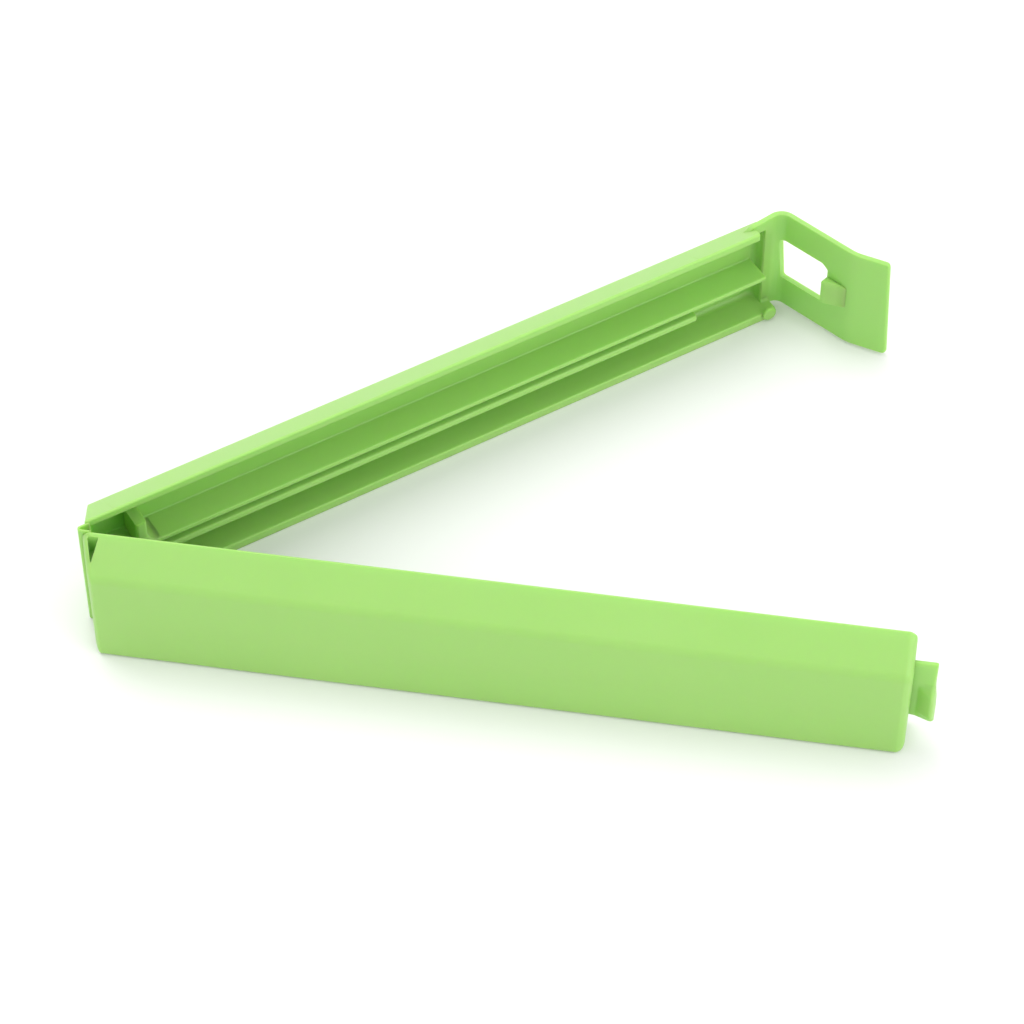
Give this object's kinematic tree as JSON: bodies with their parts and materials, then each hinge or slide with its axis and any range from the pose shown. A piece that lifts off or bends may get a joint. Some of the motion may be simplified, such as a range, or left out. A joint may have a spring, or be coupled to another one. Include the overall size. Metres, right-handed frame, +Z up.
{
  "type": "bag clip",
  "caption": "Long one-piece plastic bag sealing clip: two channel-shaped jaws on a living hinge, open in a V, with a flexing windowed latch that hooks over a tongue.",
  "frame": {"origin": "on the hinge axis, at the level of the lower long edges that the clip stands on", "axes": "+X along the front jaw from the hinge to its tongue, +Y from the front jaw into the open mouth, +Z up along the hinge axis"},
  "size_m": [0.1096, 0.0788, 0.0174],
  "materials": {
    "green_polypropylene": "smooth satin-gloss moulded polypropylene, lime green"
  },
  "bodies": {
    "front_jaw": {"front_shell": "green_polypropylene", "seal_blade": "green_polypropylene", "catch_tongue": "green_polypropylene", "tongue_barb": "green_polypropylene", "hinge_film": "green_polypropylene"},
    "rear_jaw": {"rear_shell": "green_polypropylene", "rear_hinge_wall": "green_polypropylene", "rear_hinge_leaf": "green_polypropylene", "main_rib": "green_polypropylene", "fine_rib": "green_polypropylene", "hinge_post": "green_polypropylene", "corner_bead": "green_polypropylene", "rear_end_block": "green_polypropylene", "latch_root": "green_polypropylene"},
    "latch": {"latch_strap": "green_polypropylene", "latch_tooth": "green_polypropylene", "thumb_tab": "green_polypropylene"}
  },
  "joints": [
    {"name": "main_hinge", "type": "hinge", "parent": "front_jaw", "child": "rear_jaw", "pos_m": [0, 0, 0.0087], "axis": [0, 0, 1], "range_deg": [-40, 140]},
    {"name": "latch_flex", "type": "hinge", "parent": "rear_jaw", "child": "latch", "pos_m": [0.07971, 0.071, 0.0087], "axis": [0, 0, 1], "range_deg": [-9, 12], "stiffness_Nm_per_rad": 0.1}
  ]
}
